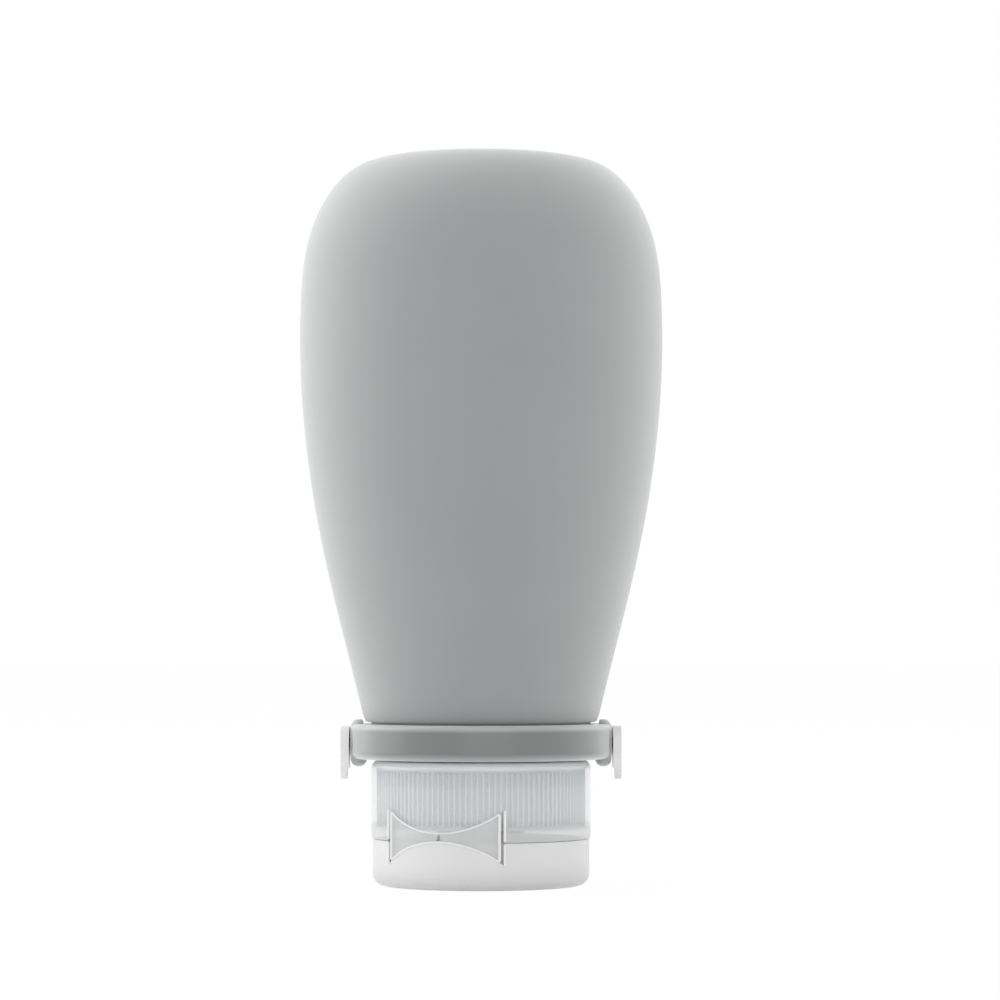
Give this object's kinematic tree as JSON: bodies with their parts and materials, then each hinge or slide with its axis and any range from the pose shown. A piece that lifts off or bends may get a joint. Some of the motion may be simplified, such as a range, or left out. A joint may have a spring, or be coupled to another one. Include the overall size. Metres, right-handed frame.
{
  "type": "squeeze travel bottle",
  "caption": "Soft silicone squeeze bottle that stands upside down on a frosted flip-top screw cap, with a collar ring and a hanging loop hinged behind it.",
  "frame": {"origin": "centre of the lid's flat face, on which the bottle stands upside down", "axes": "+Z along the bottle's axis from the standing face up to the bottle's base, +X to the right along the hanging loop's pins, -Y to the front, the hanging loop behind on +Y"},
  "size_m": [0.05, 0.0508, 0.0996],
  "materials": {
    "silicone": "matt silicone with a fine dry surface",
    "collar_plastic": "satin moulded polypropylene",
    "loop_plastic": "white translucent moulded polypropylene",
    "frosted_plastic": "frosted natural polypropylene",
    "seal_silicone": "clear soft silicone"
  },
  "bodies": {
    "bottle": {"bottle_body": "silicone", "neck_insert": "collar_plastic", "collar_ring": "collar_plastic"},
    "loop": {"hanging_loop": "loop_plastic"},
    "gasket": {"cap_gasket": "seal_silicone"},
    "cap": {"screw_cap": "frosted_plastic", "closure_shell": "frosted_plastic", "drip_valve": "seal_silicone"},
    "wing_right": {"hinge_wing_right": "frosted_plastic"},
    "wing_left": {"hinge_wing_left": "frosted_plastic"},
    "lid": {"flip_lid": "frosted_plastic"}
  },
  "joints": [
    {"name": "loop_swing", "type": "hinge", "parent": "bottle", "child": "loop", "pos_m": [0, 0, 0.01947], "axis": [-1, 0, 0], "range_deg": [0, 180]},
    {"name": "cap_lift", "type": "slide", "parent": "bottle", "child": "gasket", "axis": [0, 0, -1], "range_m": [0, 0.00675]},
    {"name": "cap_turn", "type": "hinge", "parent": "gasket", "child": "cap", "pos_m": [0, 0, 0], "axis": [0, 0, -1], "range_deg": [0, 810]},
    {"name": "lid_flip", "type": "hinge", "parent": "cap", "child": "lid", "pos_m": [-0.00568, -0.01405, 0.00712], "axis": [-0.9272, 0.3746, 0], "range_deg": [0, 170]},
    {"name": "wing_right_fold", "type": "hinge", "parent": "cap", "child": "wing_right", "pos_m": [-0.00566, -0.01443, 0.00762], "axis": [-0.9473, 0.1023, -0.3036], "range_deg": [0, 60]},
    {"name": "wing_left_fold", "type": "hinge", "parent": "cap", "child": "wing_left", "pos_m": [-0.00595, -0.01431, 0.00762], "axis": [-0.7525, 0.5845, 0.3036], "range_deg": [0, 60]}
  ],
  "couplings": [
    {"joint": "cap_lift", "follows": "cap_turn", "m_per_rad": 0.00047746},
    {"joint": "wing_right_fold", "follows": "lid_flip", "ratio": 0.35},
    {"joint": "wing_left_fold", "follows": "lid_flip", "ratio": 0.35}
  ]
}
